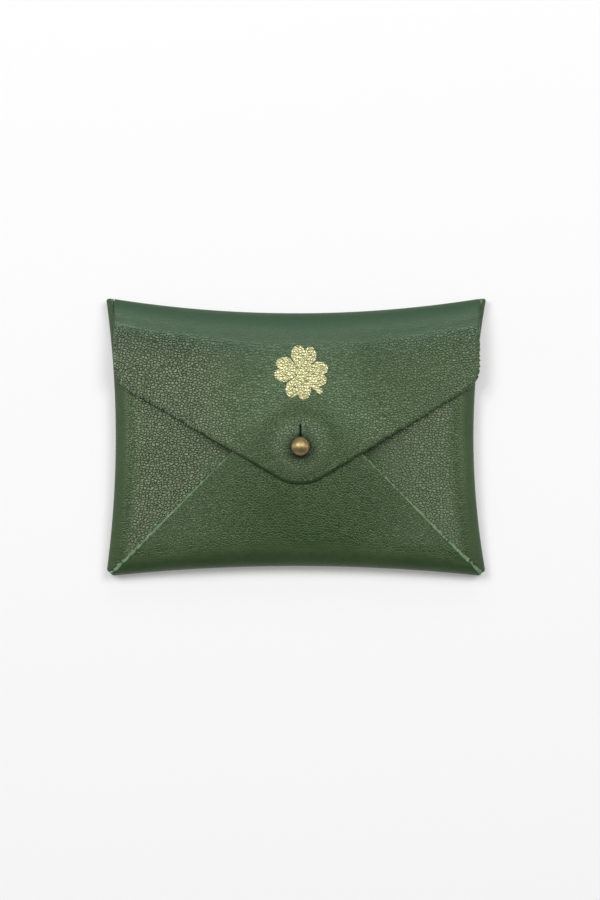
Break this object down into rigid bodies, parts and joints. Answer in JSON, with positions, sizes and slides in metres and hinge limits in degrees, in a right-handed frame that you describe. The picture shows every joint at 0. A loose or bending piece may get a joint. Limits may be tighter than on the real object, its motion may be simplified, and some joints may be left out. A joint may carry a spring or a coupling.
{
  "type": "card holder",
  "caption": "Envelope card holder folded from one piece of leather, with a pointed closing flap that buttons over a ball stud.",
  "frame": {"origin": "middle of the back's underside, at the bottom centre of the bounding box", "axes": "+X across the width, +Y towards the top fold, +Z out of the front"},
  "size_m": [0.1076, 0.0785, 0.0173],
  "materials": {
    "leather": "fine pebbled grain, slightly glossy, raw suede inside",
    "gold_foil": "hot-stamped foil that follows the grain",
    "brass": "antiqued"
  },
  "bodies": {
    "pouch": {"back_panel": "leather", "left_side_flap": "leather", "right_side_flap": "leather", "bottom_flap": "leather", "stud_button": "brass", "stud_screw": "brass"},
    "spine": {"fold_spine": "leather"},
    "flap": {"closing_flap": "leather", "foil_clover": "gold_foil"}
  },
  "joints": [
    {"name": "fold_roll", "type": "hinge", "parent": "pouch", "child": "spine", "pos_m": [0, 0.03755, 0.00169], "axis": [-1, 0, 0], "range_deg": [0, 75]},
    {"name": "flap_open", "type": "hinge", "parent": "spine", "child": "flap", "pos_m": [0, 0.03755, 0.01031], "axis": [-1, 0, 0], "range_deg": [0, 75]}
  ],
  "couplings": [
    {"joint": "fold_roll", "follows": "flap_open", "ratio": 1}
  ]
}
